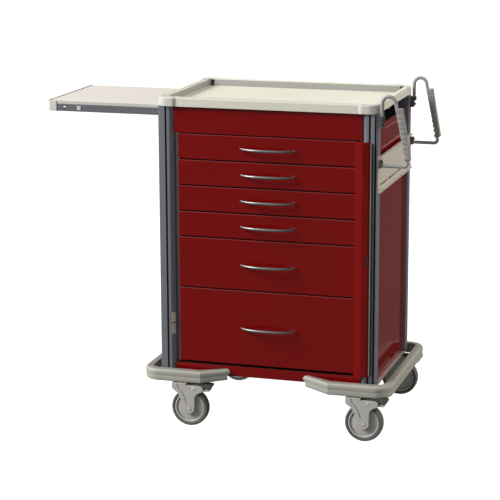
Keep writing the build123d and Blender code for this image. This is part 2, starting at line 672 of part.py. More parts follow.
def caster_fork(x, y):
    """Swivel stem, crown and two cheeks, with the axle and the brake's pin through them."""
    wheel_x = x + TRAIL
    profile = [
        (-59, CROWN_TOP), (-59, 128), (-55, 123.5), (-40, 113), (-31.5, 99), (-HUB_R, WHEEL_R + 8),
        (-HUB_R, WHEEL_R), (HUB_R, WHEEL_R), (21, 95), (23, 103), (26, 108), (33, 113.5), (46, 119.5),
        (50.5, 125.5), (48.5, 134), (40, 139), (30, CHEEK_TOP), (-9, CHEEK_TOP), (-9, CROWN_TOP),
    ]
    points = [(wheel_x + dx, 0, z) for dx, z in profile]
    cheek_face = make_face(Polyline(*points, close=True))
    slab = extrude(cheek_face, CHEEK_OUT, dir=(0, 1, 0), both=True)
    slab += rod_y(wheel_x, WHEEL_R, HUB_R, -CHEEK_OUT, CHEEK_OUT)
    gap = block(wheel_x - 70, wheel_x + 70, -CHEEK_IN, CHEEK_IN, 0, CROWN_BOTTOM)
    pedal_bay = block(wheel_x - 9, wheel_x + 70, -CHEEK_IN, CHEEK_IN, 0, CROWN_TOP)
    fork = slab - gap - pedal_bay
    fork += upright(x, 0, SOCKET_R - 0.5, CROWN_BOTTOM, RAIL_BOTTOM - 0.4)
    fork += upright(x, 0, STEM_R, CROWN_BOTTOM, STEM_TOP)
    fork += rod_y(wheel_x + PEDAL_X, PEDAL_Z, PEDAL_PIN_R, -CHEEK_OUT - 1.5, CHEEK_OUT + 1.5)
    fork -= rod_y(wheel_x, WHEEL_R, AXLE_R, -CHEEK_OUT, CHEEK_OUT)
    axle = rod_y(wheel_x, WHEEL_R, AXLE_R, -CHEEK_OUT, CHEEK_OUT)
    for end in (-1, 1):
        span = sorted((end * CHEEK_OUT, end * (CHEEK_OUT + 3)))
        axle += rod_y(wheel_x, WHEEL_R, 7.5, *span)
    return Pos(0, y, 0) * fork, Pos(0, y, 0) * axle


def caster_wheel(x, y):
    """Dished wheel centre with its bearing bore."""
    wheel_x = x + TRAIL
    wheel = rod_y(wheel_x, WHEEL_R, RIM_R, -14, 14)
    for side in (-1, 1):
        span = sorted((side * 9, side * 14))
        wheel -= rod_y(wheel_x, WHEEL_R, 44, *span)
    wheel += rod_y(wheel_x, WHEEL_R, 13, -TYRE_HALF - 0.8, TYRE_HALF + 0.8)
    wheel -= rod_y(wheel_x, WHEEL_R, AXLE_R + AXLE_CLEARANCE, -TYRE_HALF - 2, TYRE_HALF + 2)
    return Pos(0, y, 0) * wheel


def caster_tyre(x, y):
    wheel_x = x + TRAIL
    tyre = rod_y(wheel_x, WHEEL_R, WHEEL_R, -TYRE_HALF, TYRE_HALF)
    tyre = fillet(tyre.edges().filter_by(GeomType.CIRCLE), 5)
    tyre -= rod_y(wheel_x, WHEEL_R, RIM_R, -TYRE_HALF, TYRE_HALF)
    return Pos(0, y, 0) * tyre


def caster_pedal(x, y):
    """Brake pedal: an arm between the cheeks, a wide toe pad and a pivot barrel."""
    wheel_x = x + TRAIL
    top = CROWN_TOP - 1.5
    arm = block(wheel_x + 10, wheel_x + 60, -14, 14, PEDAL_Z + 4, top)
    pad = block(wheel_x + 55, wheel_x + PEDAL_TIP, -17, 17, PEDAL_Z - 2, top)
    pad = chamfer(pad.edges().filter_by(Axis.Y).group_by(Axis.X)[-1].sort_by(Axis.Z)[0], 10)
    pad = fillet(pad.edges().filter_by(Axis.Z), 5)
    barrel = rod_y(wheel_x + PEDAL_X, PEDAL_Z, 6, -CHEEK_IN + 1, CHEEK_IN - 1)
    pedal = arm + pad + barrel
    pedal -= rod_y(wheel_x + PEDAL_X, PEDAL_Z, PEDAL_PIN_R + AXLE_CLEARANCE, -20, 20)
    return Pos(0, y, 0) * pedal


CORNERS = {
    "front_left": (-CASTER_X, -CASTER_Y),
    "front_right": (CASTER_X, -CASTER_Y),
    "rear_left": (-CASTER_X, CASTER_Y),
    "rear_right": (CASTER_X, CASTER_Y),
}
for corner_name, (corner_x, corner_y) in CORNERS.items():
    add(f"caster_{corner_name}_fork", *caster_fork(corner_x, corner_y))
    add(f"caster_{corner_name}_wheel", caster_wheel(corner_x, corner_y))
    add(f"caster_{corner_name}_tyre", caster_tyre(corner_x, corner_y))
    add(f"caster_{corner_name}_pedal", caster_pedal(corner_x, corner_y))

# ---- origin and export ----------------------------------------------------------------------------------
# The origin is the middle of the footprint, on the floor, with the shelf pulled out.
boxes = [solid.bounding_box() for solids in nodes.values() for solid in solids]
x_min = min(box.min.X for box in boxes)
x_max = max(box.max.X for box in boxes)
SHIFT_X = -(x_min + x_max) / 2
for node_name, solids in nodes.items():
    placed = [Pos(SHIFT_X, 0, 0) * solid for solid in solids]
    shape = placed[0] if len(placed) == 1 else Compound(children=placed)
    export_step(shape, f"parts/{node_name}.step")
print("nodes", len(nodes), "shift", round(SHIFT_X, 3))
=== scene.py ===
from math import atan2, cos, pi, radians, sin, sqrt, tan

import bmesh
import bpy
from mathutils import Matrix, Vector

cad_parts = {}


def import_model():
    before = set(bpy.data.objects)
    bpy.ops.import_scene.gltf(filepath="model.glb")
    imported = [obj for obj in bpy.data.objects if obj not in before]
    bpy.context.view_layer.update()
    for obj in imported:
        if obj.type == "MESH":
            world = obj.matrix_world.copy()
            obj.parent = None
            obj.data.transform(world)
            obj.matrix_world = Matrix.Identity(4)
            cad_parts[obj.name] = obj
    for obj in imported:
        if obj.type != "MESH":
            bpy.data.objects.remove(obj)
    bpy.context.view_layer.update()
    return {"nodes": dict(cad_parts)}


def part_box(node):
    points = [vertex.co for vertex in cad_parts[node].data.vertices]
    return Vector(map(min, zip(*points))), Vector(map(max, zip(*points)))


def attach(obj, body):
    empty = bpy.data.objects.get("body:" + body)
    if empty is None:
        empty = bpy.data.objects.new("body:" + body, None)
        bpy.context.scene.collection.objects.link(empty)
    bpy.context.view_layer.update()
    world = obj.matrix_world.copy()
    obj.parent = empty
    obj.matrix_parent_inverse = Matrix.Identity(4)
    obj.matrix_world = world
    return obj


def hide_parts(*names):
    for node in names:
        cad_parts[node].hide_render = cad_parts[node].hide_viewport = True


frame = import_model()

# The looks of a crash cart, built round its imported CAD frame. Sizes are in millimetres. X is counted
# from the middle of the cart's body and is shifted to the frame's origin when a mesh is made.

MM = 0.001
CORNERS = ("front_left", "front_right", "rear_left", "rear_right")
DRAWERS = range(1, 7)


# ---- places taken from the frame --------------------------------------------------------------------
def middle_x():
    low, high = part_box("top_tray")
    return (low.x + high.x) / 2


MIDDLE = middle_x()


class Span:
    """The box of a CAD node in cart millimetres."""

    def __init__(self, node):
        low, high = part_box(node)
        self.x0, self.x1 = (low.x - MIDDLE) / MM, (high.x - MIDDLE) / MM
        self.y0, self.y1 = low.y / MM, high.y / MM
        self.z0, self.z1 = low.z / MM, high.z / MM


TRAY = Span("top_tray")
CAPS = Span("corner_caps")
POSTS = Span("corner_posts")
BUMPER = Span("bumper_right")
SHELF_CAP = Span("shelf_end_cap")
RAILS = Span("shelf_rails")


def world(x, y, z):
    return Vector((x * MM + MIDDLE, y * MM, z * MM))


def signs(corner):
    """A corner's side (right is 1, left is -1) and face (rear is 1, front is -1)."""
    side = 1 if corner.endswith("right") else -1
    face = 1 if corner.startswith("rear") else -1
    return side, face


# ---- materials --------------------------------------------------------------------------------------
def add_noise(tree, coords, scale, detail=3.0, stretch=(1, 1, 1)):
    mapping = tree.nodes.new("ShaderNodeMapping")
    mapping.inputs["Scale"].default_value = stretch
    noise = tree.nodes.new("ShaderNodeTexNoise")
    noise.inputs["Scale"].default_value = scale
    noise.inputs["Detail"].default_value = detail
    tree.links.new(coords.outputs["Object"], mapping.inputs["Vector"])
    tree.links.new(mapping.outputs["Vector"], noise.inputs["Vector"])
    return noise.outputs["Fac"]


def shade(color, factor):
    return [min(1.0, c * factor) for c in color] + [1.0]


DRIFT_STOPS = (0.3, 0.7)
ROUGHNESS_PATCH = 45.0
# Painted shade in creases: occlusion rays, the openness range it works over, and the colour it darkens
# towards.
CREASE_RAYS = 6
CREASE_OPENNESS = (0.2, 0.9)
CREASE_SHADE_COLOR = (0.35, 0.33, 0.30, 1)
GRAIN_DEPTH = 0.0002


def surface(name, color, roughness, drift=0.05, patch=6.0, rough_drift=0.05, grain=0.0, grain_scale=900.0,
            metallic=0.0, specular=0.5, stretch=(1, 1, 1), crease_shade=0.0, reach=0.012):
    """A finish with soft patches of colour, varied roughness, fine grain and painted shade in its creases.
    """
    material = bpy.data.materials.new(name)
    material.use_nodes = True
    tree = material.node_tree
    shader = tree.nodes["Principled BSDF"]
    shader.inputs["Metallic"].default_value = metallic
    shader.inputs["Specular IOR Level"].default_value = specular
    coords = tree.nodes.new("ShaderNodeTexCoord")
    ramp = tree.nodes.new("ShaderNodeValToRGB")
    for stop, place, factor in zip(ramp.color_ramp.elements, DRIFT_STOPS, (1 - drift, 1 + drift)):
        stop.position = place
        stop.color = shade(color, factor)
    tree.links.new(add_noise(tree, coords, patch, stretch=stretch), ramp.inputs["Fac"])
    base = ramp.outputs["Color"]
    # Painted shade: ambient occlusion darkens the base colour in creases and corners, by up to the crease
    # share.
    if crease_shade:
        occlusion = tree.nodes.new("ShaderNodeAmbientOcclusion")
        occlusion.samples = CREASE_RAYS
        occlusion.inputs["Distance"].default_value = reach
        mix = tree.nodes.new("ShaderNodeMix")
        mix.data_type = "RGBA"
        mix.blend_type = "MULTIPLY"
        lift = tree.nodes.new("ShaderNodeMapRange")
        lift.inputs["From Min"].default_value = CREASE_OPENNESS[0]
        lift.inputs["From Max"].default_value = CREASE_OPENNESS[1]
        lift.inputs["To Min"].default_value = crease_shade
        lift.inputs["To Max"].default_value = 0.0
        tree.links.new(occlusion.outputs["AO"], lift.inputs["Value"])
        tree.links.new(lift.outputs["Result"], mix.inputs["Factor"])
        tree.links.new(base, mix.inputs[6])
        mix.inputs[7].default_value = CREASE_SHADE_COLOR
        base = mix.outputs[2]
    tree.links.new(base, shader.inputs["Base Color"])
    spread = tree.nodes.new("ShaderNodeMapRange")
    spread.inputs["To Min"].default_value = max(0.02, roughness - rough_drift)
    spread.inputs["To Max"].default_value = min(1.0, roughness + rough_drift)
    tree.links.new(add_noise(tree, coords, ROUGHNESS_PATCH, 5.0, stretch), spread.inputs["Value"])
    tree.links.new(spread.outputs["Result"], shader.inputs["Roughness"])
    if grain:
        bump = tree.nodes.new("ShaderNodeBump")
        bump.inputs["Strength"].default_value = grain
        bump.inputs["Distance"].default_value = GRAIN_DEPTH
        tree.links.new(add_noise(tree, coords, grain_scale, 2.0, stretch), bump.inputs["Height"])
        tree.links.new(bump.outputs["Normal"], shader.inputs["Normal"])
    return material


RED = surface("red_enamel", (0.205, 0.0022, 0.0018), 0.13, drift=0.025, rough_drift=0.03, grain=0.05,
              grain_scale=160, specular=0.5)
# Painted highlight: a lighter red for the lit top edge of each drawer front.
RED_EDGE_HIGHLIGHT = surface("red_enamel_painted_highlight", (0.25, 0.040, 0.036), 0.3, drift=0.05, grain=0.05, grain_scale=160,
                   specular=0.5)
# A glossier red for the side and back panels, its colour darker than the fronts' as painted shade.
RED_SIDE_SHADE = surface("red_enamel_gloss_side_shade", (0.175, 0.0041, 0.0033), 0.10, drift=0.025, rough_drift=0.02,
                   grain=0.02, grain_scale=120, specular=0.12)
RED_BAR = surface("red_enamel_bar", (0.275, 0.0065, 0.0060), 0.24, drift=0.025, grain=0.06, grain_scale=160,
                  specular=0.3)
ALUMINIUM = surface("post_aluminium", (0.27, 0.28, 0.31), 0.42, drift=0.05, metallic=0.55, grain=0.25,
                    grain_scale=1500, stretch=(1, 1, 0.02))
RAIL_GREY = surface("rail_aluminium", (0.17, 0.175, 0.19), 0.45, drift=0.05, metallic=0.3, grain=0.2,
                    grain_scale=1500, stretch=(0.02, 1, 1))
# Black rubber, also used as painted shade in gaps.
BLACK = surface("black_rubber_and_shade", (0.008, 0.008, 0.009), 0.7, drift=0.15, grain=0.3, specular=0.15)
# Painted shade: a near-black sheet for places that lie in deep shade.
SHADE_SHEET = surface("painted_shade_sheet", (0.022, 0.030, 0.026), 0.65, drift=0.15, grain=0.2, specular=0.2)
TRAY_CREAM = surface("tray_plastic", (0.76, 0.735, 0.615), 0.42, drift=0.02, grain=0.35, grain_scale=2200,
                     specular=0.3, crease_shade=0.5, reach=0.03)
# Painted light: a lighter copy of the tray's cream for the upward-facing floor of the well.
TRAY_DECK_LIT = surface("tray_deck_painted_light", (0.93, 0.89, 0.73), 0.45, drift=0.02, grain=0.35, grain_scale=2200,
                    specular=0.3, crease_shade=0.4, reach=0.02)
# Painted shade: a darker copy of the tray's cream for the walls of the well.
TRAY_WALL_SHADE = surface("tray_wall_painted_shade", (0.34, 0.335, 0.295), 0.5, drift=0.03, grain=0.35, grain_scale=2200,
                    specular=0.25, crease_shade=0.6, reach=0.03)
LAMINATE = surface("laminate", (0.93, 0.86, 0.76), 0.38, drift=0.012, patch=14, grain=0.15,
                   grain_scale=3000, specular=0.3)
CAP_CREAM = surface("cap_plastic", (0.68, 0.67, 0.59), 0.45, drift=0.02, grain=0.3, grain_scale=2000,
                    specular=0.3, crease_shade=0.35)
# Painted shade: a darker copy of the bumper's grey for its upward faces.
BUMPER_TOP_SHADE = surface("bumper_top_painted_shade", (0.31, 0.30, 0.255), 0.55, drift=0.04, grain=0.6,
                        grain_scale=1800)
BUMPER_GREY = surface("bumper_plastic", (0.43, 0.42, 0.36), 0.5, drift=0.04, grain=0.6, grain_scale=1800,
                      specular=0.35, crease_shade=0.45)
CREAM_PAINT = surface("cream_paint", (0.62, 0.56, 0.475), 0.42, drift=0.03, grain=0.3, grain_scale=700,
                      specular=0.35, crease_shade=0.35)
HINGE_PAINT = surface("hinge_paint", (0.36, 0.33, 0.27), 0.42, drift=0.04, grain=0.3, grain_scale=700,
                      specular=0.35, crease_shade=0.5)
GREY_PAINT = surface("grey_steel", (0.30, 0.30, 0.305), 0.45, drift=0.04, grain=0.25, grain_scale=600,
                     specular=0.35, crease_shade=0.3)
ZINC = surface("zinc_steel", (0.42, 0.42, 0.43), 0.35, drift=0.10, patch=40, metallic=0.9, grain=0.2,
               grain_scale=900)
PULL_METAL = surface("pull_metal", (0.27, 0.27, 0.265), 0.42, drift=0.05, metallic=0.9, grain=0.06,
                     grain_scale=1800, stretch=(0.05, 1, 1))
HANDLE_GREY = surface("handle_coat", (0.34, 0.335, 0.325), 0.4, drift=0.04, grain=0.3, grain_scale=900,
                      specular=0.4, crease_shade=0.3)
GRIP_GREY = surface("grip_rubber", (0.32, 0.315, 0.285), 0.55, drift=0.06, grain=0.8, grain_scale=1600,
                    specular=0.3, crease_shade=0.6, reach=0.008)
CLAMP_DARK = surface("clamp_plastic", (0.09, 0.09, 0.089), 0.5, drift=0.1, grain=0.5, specular=0.35)
CASTER_GREY = surface("caster_plastic", (0.52, 0.505, 0.45), 0.45, drift=0.03, grain=0.5, grain_scale=1500,
                      specular=0.35, crease_shade=0.7, reach=0.007)
HUB_LIGHT = surface("hub_plastic", (0.62, 0.605, 0.54), 0.4, drift=0.03, grain=0.4, grain_scale=1500,
                    specular=0.4, crease_shade=0.5, reach=0.004)
TYRE_GREY = surface("tyre_rubber", (0.135, 0.135, 0.132), 0.62, drift=0.12, patch=30, grain=0.7,
                    grain_scale=1300, specular=0.3, crease_shade=0.3)
PEDAL_DARK = surface("pedal_plastic", (0.085, 0.082, 0.074), 0.5, drift=0.1, grain=0.6, specular=0.35)
CHROME = surface("screw_steel", (0.75, 0.75, 0.75), 0.2, drift=0.06, patch=80, metallic=1.0, grain=0.1)


# ---- mesh helpers -----------------------------------------------------------------------------------
SAME_POINT = 0.00001                  # metres
SLAB_SHARP = 50.0                     # degrees
LATHE_SHARP = 30.0


def settle(piece, material, body, replaces=(), sharp=35.0):
    """Gives a new piece its material, smooth shading with sharp folds and body, and hides the CAD parts it
    replaces.
    """
    mesh = piece.data
    mesh.materials.append(material)
    for polygon in mesh.polygons:
        polygon.use_smooth = True
    mesh.set_sharp_from_angle(angle=radians(sharp))
    normals = piece.modifiers.new("normals", "WEIGHTED_NORMAL")
    normals.keep_sharp = True
    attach(piece, body)
    if replaces:
        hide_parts(*replaces)
    return piece


def new_piece(name, points, faces, material, body, replaces=(), sharp=35.0):
    mesh = bpy.data.meshes.new(name)
    mesh.from_pydata([world(*p) for p in points], [], faces)
    made = bmesh.new()
    made.from_mesh(mesh)
    bmesh.ops.remove_doubles(made, verts=made.verts, dist=SAME_POINT)
    bmesh.ops.recalc_face_normals(made, faces=made.faces)
    made.to_mesh(mesh)
    made.free()
    piece = bpy.data.objects.new(name, mesh)
    bpy.context.scene.collection.objects.link(piece)
    return settle(piece, material, body, replaces, sharp)


def loft(loops, closed_loop=False, capped=True):
    """Points and faces of a skin over equal loops. The last loop meets the first if closed_loop is set."""
    size = len(loops[0])
    points = [p for loop in loops for p in loop]
    faces = []
    pairs = len(loops) if closed_loop else len(loops) - 1
    for i in range(pairs):
        a = i * size
        b = ((i + 1) % len(loops)) * size
        for j in range(size):
            k = (j + 1) % size
            faces.append((a + j, a + k, b + k, b + j))
    if capped and not closed_loop:
        faces.append(tuple(range(size)))
        faces.append(tuple(range(len(points) - size, len(points))))
    return points, faces


def arc(cx, cy, radius, start, end, steps):
    """Points of an arc, angles in degrees."""
    angles = [radians(start + (end - start) * i / steps) for i in range(steps + 1)]
    return [(cx + radius * cos(a), cy + radius * sin(a)) for a in angles]


def rounded_rectangle(x0, x1, y0, y1, radius, steps=6):
    corners = [(x1, y0, -90), (x1, y1, 0), (x0, y1, 90), (x0, y0, 180)]
    outline = []
    for x, y, start in corners:
        cx = x - radius if x == x1 else x + radius
        cy = y - radius if y == y1 else y + radius
        outline += arc(cx, cy, radius, start, start + 90, steps)
    return outline


def slab(name, x, y, z, radius, material, body, replaces=(), segments=3):
    """A block with every edge rounded. x, y and z are pairs."""
    made = bmesh.new()
    bmesh.ops.create_cube(made, size=1.0)
    size = Vector((x[1] - x[0], y[1] - y[0], z[1] - z[0]))
    bmesh.ops.scale(made, vec=size * MM, verts=made.verts)
    centre = world((x[0] + x[1]) / 2, (y[0] + y[1]) / 2, (z[0] + z[1]) / 2)
    bmesh.ops.translate(made, vec=centre, verts=made.verts)
    bmesh.ops.bevel(made, geom=made.edges, offset=radius * MM, segments=segments, profile=0.5,
                    affect="EDGES", clamp_overlap=True)
    mesh = bpy.data.meshes.new(name)
    made.to_mesh(mesh)
    made.free()
    piece = bpy.data.objects.new(name, mesh)
    bpy.context.scene.collection.objects.link(piece)
    return settle(piece, material, body, replaces, SLAB_SHARP)


def lathe_y(name, profile, centre, material, body, replaces=(), steps=72, closed=True):
    """Turns a profile of (radius, y) points about the Y axis through centre = (x, y, z)."""
    cx, cy, cz = centre
    loops = []
    for i in range(steps):
        a = 2 * pi * i / steps
        loops.append([(cx + r * cos(a), cy + y, cz + r * sin(a)) for r, y in profile])
    points, faces = loft(loops, closed_loop=True, capped=False)
    if not closed:
        size = len(profile)
        faces = [f for f in faces if {f[0] % size, f[1] % size} != {0, size - 1}]
        faces.append(tuple(i * size for i in range(steps)))
        faces.append(tuple(i * size + size - 1 for i in range(steps)))
    return new_piece(name, points, faces, material, body, replaces, LATHE_SHARP)


def dress(node, material, bevel=0.0, segments=2, weld=True, fold=35.0):
    """Keeps a CAD node and gives it a material, and where wanted, softly rounded edges."""
    piece = frame["nodes"][node]
    piece.data.materials.clear()
    piece.data.materials.append(material)
    if bevel:
        if weld:
            merge = piece.modifiers.new("merge", "WELD")
            merge.merge_threshold = SAME_POINT
        edge = piece.modifiers.new("edge", "BEVEL")
        edge.width = bevel * MM
        edge.segments = segments
        edge.limit_method = "ANGLE"
        edge.angle_limit = radians(fold)
        edge.harden_normals = False
        normals = piece.modifiers.new("normals", "WEIGHTED_NORMAL")
        normals.keep_sharp = False
    return piece


def repaint(piece, material, chosen):
    """Gives a second material to the faces for which chosen(x, y, z, normal) holds, in millimetres."""
    piece.data.materials.append(material)
    index = len(piece.data.materials) - 1
    origin = world(0, 0, 0)
    for polygon in piece.data.polygons:
        x, y, z = (polygon.center - origin) / MM
        if chosen(x, y, z, polygon.normal):
            polygon.material_index = index


# ---- frame and panels -------------------------------------------------------------------------------
SEAL_END_GAP = 1.0
SLOT_FROM_FACE = 26.0
SLOT_SEAL_HALF = 2.9
SLOT_SEAL_DEPTH = (2.2, 8.0)
GROOVE_FROM_FACE = 7.25
GROOVE_SEAL_HALF = 2.7
GROOVE_SEAL_DEPTH = (1.8, 5.8)
# Black strips in the gaps over the skirt and the drawer fronts, painted shade: their inset and their
# heights over the edge.
GAP_SHADE_INSET = 3.0
SKIRT_GAP_SHADE_Z = (-0.5, 0.7)
DRAWER_GAP_SHADE_Z = (-0.6, 0.9)


def corner_posts():
    """The posts, with a black strip down each slot and down the groove in front of the lock bar's hinge.
    Each is partly a rubber seal and partly painted shade inside the slot.
    """
    dress("corner_posts", ALUMINIUM, 0.6)
    z = (POSTS.z0 + SEAL_END_GAP, POSTS.z1 - SEAL_END_GAP)
    near, far = SLOT_SEAL_DEPTH
    for corner in CORNERS:
        side, face = signs(corner)
        x = side * (POSTS.x1 - SLOT_FROM_FACE)
        y = sorted((face * (POSTS.y1 - near), face * (POSTS.y1 - far)))
        slab(f"post_seal_{corner}", (x - SLOT_SEAL_HALF, x + SLOT_SEAL_HALF), y, z, 0.6, BLACK, "cart")
    x = POSTS.x1 - GROOVE_FROM_FACE
    y = [POSTS.y0 + depth for depth in GROOVE_SEAL_DEPTH]
    slab("post_groove_seal", (x - GROOVE_SEAL_HALF, x + GROOVE_SEAL_HALF), y, z, 0.5, BLACK, "cart")


def gap_shade_strip(name, panel, rise, body):
    """A thin black strip along the top edge of a panel, painted shade for the gap above it. rise is its
    bottom and top over the edge.
    """
    x = (panel.x0 + GAP_SHADE_INSET, panel.x1 - GAP_SHADE_INSET)
    y = (panel.y0 + GAP_SHADE_INSET, panel.y1 - 1)
    z = (panel.z1 + rise[0], panel.z1 + rise[1])
    slab(name, x, y, z, 0.3, BLACK, body)


def body_panels():
    dress("base_frame", CREAM_PAINT, 0.5)
    dress("front_skirt", RED, 0.8)
    dress("header_panel", RED, 0.8)
    # Side and back panels in the darker red: painted shade.
    dress("back_panel", RED_SIDE_SHADE, 0.5, weld=False)
    for side in ("right", "left"):
        dress(f"side_panel_{side}", RED_SIDE_SHADE, 0.5, weld=False)
    dress("shelf_deck", BLACK, 0.3)
    # Painted shade: a black strip in the gap over the skirt.
    gap_shade_strip("skirt_gap_shade", Span("front_skirt"), SKIRT_GAP_SHADE_Z, "cart")
    dress("drawer_slides", ZINC)


# ---- drawers ----------------------------------------------------------------------------------------
HEM_HEIGHT = 10.0
HEM_STEP = 0.5
HEM_PROFILE = ((0.0, -1.0), (0.15, -0.3), (HEM_STEP, 0.6))
FRONT_EDGE_R = 2.2
FRONT_END_ROUND = ((0.0, 1.4), (0.4, 0.4), (1.4, 0.0))
LIT_EDGE_SHARE = 0.7


def front_profile(box):
    """Side section of a drawer front: rounded edges and a pressed hem along the bottom."""
    r = FRONT_EDGE_R
    y = box.y0
    hem = box.z0 + HEM_HEIGHT
    low = arc(y + r, box.z0 + r, r, 270, 180, 5)
    high = arc(y + HEM_STEP + r, box.z1 - r, r, 180, 90, 5)
    step = [(y + depth, hem + rise) for depth, rise in HEM_PROFILE]
    return [(box.y1, box.z0), *low, *step, *high, (box.y1, box.z1)]


def drawer_front(number):
    body = f"drawer_{number}"
    node = f"drawer_{number}_front"
    box = Span(node)
    profile = front_profile(box)
    ends = [(box.x0 + run, shrink) for run, shrink in FRONT_END_ROUND]
    ends += [(box.x1 - run, shrink) for run, shrink in reversed(FRONT_END_ROUND)]
    loops = []
    for x, shrink in ends:
        loops.append([(x, min(box.y1, y + shrink) if y < box.y1 else y, z) for y, z in profile])
    points, faces = loft(loops)
    face = new_piece(f"drawer_{number}_face", points, faces, RED, body, (node,), 50)
    edge_z = box.z1 - FRONT_EDGE_R * LIT_EDGE_SHARE
    edge_y = box.y0 + FRONT_EDGE_R
    # Painted highlight along the rounded top edge of the front.
    repaint(face, RED_EDGE_HIGHLIGHT, lambda x, y, z, normal: z > edge_z and y < edge_y and abs(normal.x) < 0.5)


def tube(name, path, sizes, closed, material, body, replaces=(), steps=10):
    """A rod along a path of points. Each size is half the width across and half the height."""
    count = len(path)
    loops = []
    for i, p in enumerate(path):
        before = Vector(path[(i - 1) % count] if closed else path[max(i - 1, 0)])
        after = Vector(path[(i + 1) % count] if closed else path[min(i + 1, count - 1)])
        run = (after - before).normalized()
        side = run.cross(Vector((0, 0, 1)))
        side = side.normalized() if side.length > 0.01 else Vector((0, 1, 0))
        lift = side.cross(run).normalized()
        across, high = sizes[i]
        loop = []
        for k in range(steps):
            a = 2 * pi * k / steps
            loop.append(tuple(Vector(p) + side * across * cos(a) + lift * high * sin(a)))
        loops.append(loop)
    points, faces = loft(loops, closed_loop=closed)
    return new_piece(name, points, faces, material, body, replaces, 60)


PULL_STEPS = 40
PULL_HALF_SIZE = (3.8, 4.9)           # across and high, in the middle
PULL_TIP_SHARE = 0.50
PULL_TIP_DEPTH = 0.6
PULL_INSET = 3.4
BOW_FULLNESS = 2.4
BOW_ROUNDNESS = 0.75
PULL_TAPER = 0.6


def pull(number):
    """A crescent pull: thick in the middle, tapered to both ends, which turn in to the drawer's face."""
    node = f"drawer_{number}_pull"
    box = Span(node)
    middle = (box.x0 + box.x1) / 2
    half = (box.x1 - box.x0) / 2
    z = (box.z0 + box.z1) / 2
    bow = box.y1 - box.y0 - PULL_INSET
    across, high = PULL_HALF_SIZE
    path = []
    sizes = []
    for i in range(PULL_STEPS + 1):
        t = sin(pi / 2 * (2 * i / PULL_STEPS - 1))
        rise = (1 - abs(t) ** BOW_FULLNESS) ** BOW_ROUNDNESS
        path.append((middle + half * t, box.y1 + PULL_TIP_DEPTH - bow * rise, z))
        swell = PULL_TIP_SHARE + (1 - PULL_TIP_SHARE) * (1 - t * t) ** PULL_TAPER
        sizes.append((across * swell, high * swell))
    tube(f"drawer_{number}_bow", path, sizes, False, PULL_METAL, f"drawer_{number}",
         (node,), 14)


RIM_HALF_X = 277.4
RIM_INSET = 0.6
RIM_CORNER = 4.0
RIM_DROP = 0.8
RIM_HALF_SIZE = (1.5, 1.5)


def drawer(number):
    body = f"drawer_{number}"
    drawer_front(number)
    pull(number)
    dress(f"drawer_{number}_box", GREY_PAINT)
    box = Span(f"drawer_{number}_box")
    front = Span(f"drawer_{number}_front")
    # Painted shade: a black strip in the gap over the drawer front.
    gap_shade_strip(f"drawer_{number}_gap_shade", front, DRAWER_GAP_SHADE_Z, body)
    y0, y1 = front.y1 + RIM_INSET, box.y1 - RIM_INSET
    rim = rounded_rectangle(-RIM_HALF_X, RIM_HALF_X, y0, y1, RIM_CORNER, 4)
    path = [(x, y, box.z1 - RIM_DROP) for x, y in rim]
    sizes = [RIM_HALF_SIZE] * len(path)
    tube(f"drawer_{number}_rim", path, sizes, True, GREY_PAINT, body, (), 8)


# ---- lock bar ---------------------------------------------------------------------------------------
KNUCKLE_X = 3.2                       # middle of the knuckles, from the hinge's left side
LEAF_HALF = 3.3
KNUCKLE_SHADE = 0.8


def lock_bar():
    """The bar and its hinge. The hinge's edge is painted cream and the side behind it is painted dark as
    shade.
    """
    bar = dress("lock_bar", RED_BAR, 0.5, fold=20.0)
    hinge = dress("lock_bar_hinge", HINGE_PAINT)
    middle = Span("lock_bar_hinge").x0 + KNUCKLE_X
    repaint(bar, HINGE_PAINT, lambda x, y, z, normal: x > middle - LEAF_HALF)
    # Painted shade on the faces right of the knuckles' middle.
    for piece in (bar, hinge):
        repaint(piece, SHADE_SHEET, lambda x, y, z, normal: x > middle + KNUCKLE_SHADE)
    dress("post_clips", CREAM_PAINT, 0.5)


# ---- tray top and corner caps -----------------------------------------------------------------------
TRAY_CORNER = 32.0
TRAY_RIM = 3.5
TRAY_FLOOR = 1061.5
WELL_X = 340.0
WELL_FRONT = -215.0
WELL_REAR = 222.0
WELL_CORNER = 10.0
WELL_FILLET = 4.0
SIDE_LEAN = 5.0                       # how far each side wall leans out at its top
WELL_LEAN = 16.0                      # how far the rear wall leans back at its top
GAP_END = 3.0
GAP_START = 13.5
GAP_PROUD = 1.7
GAP_BURIED = 2.0


def in_well(x, y):
    return abs(x) < WELL_X + SIDE_LEAN and WELL_FRONT - 1 < y < WELL_REAR + WELL_LEAN


def is_well_wall(x, y, z, normal):
    return in_well(x, y) and TRAY_FLOOR + 1.2 < z < TRAY.z1 - 2.2 and abs(normal.z) < 0.9


def is_well_floor(x, y, z, normal):
    return in_well(x, y) and z < TRAY_FLOOR + 0.6


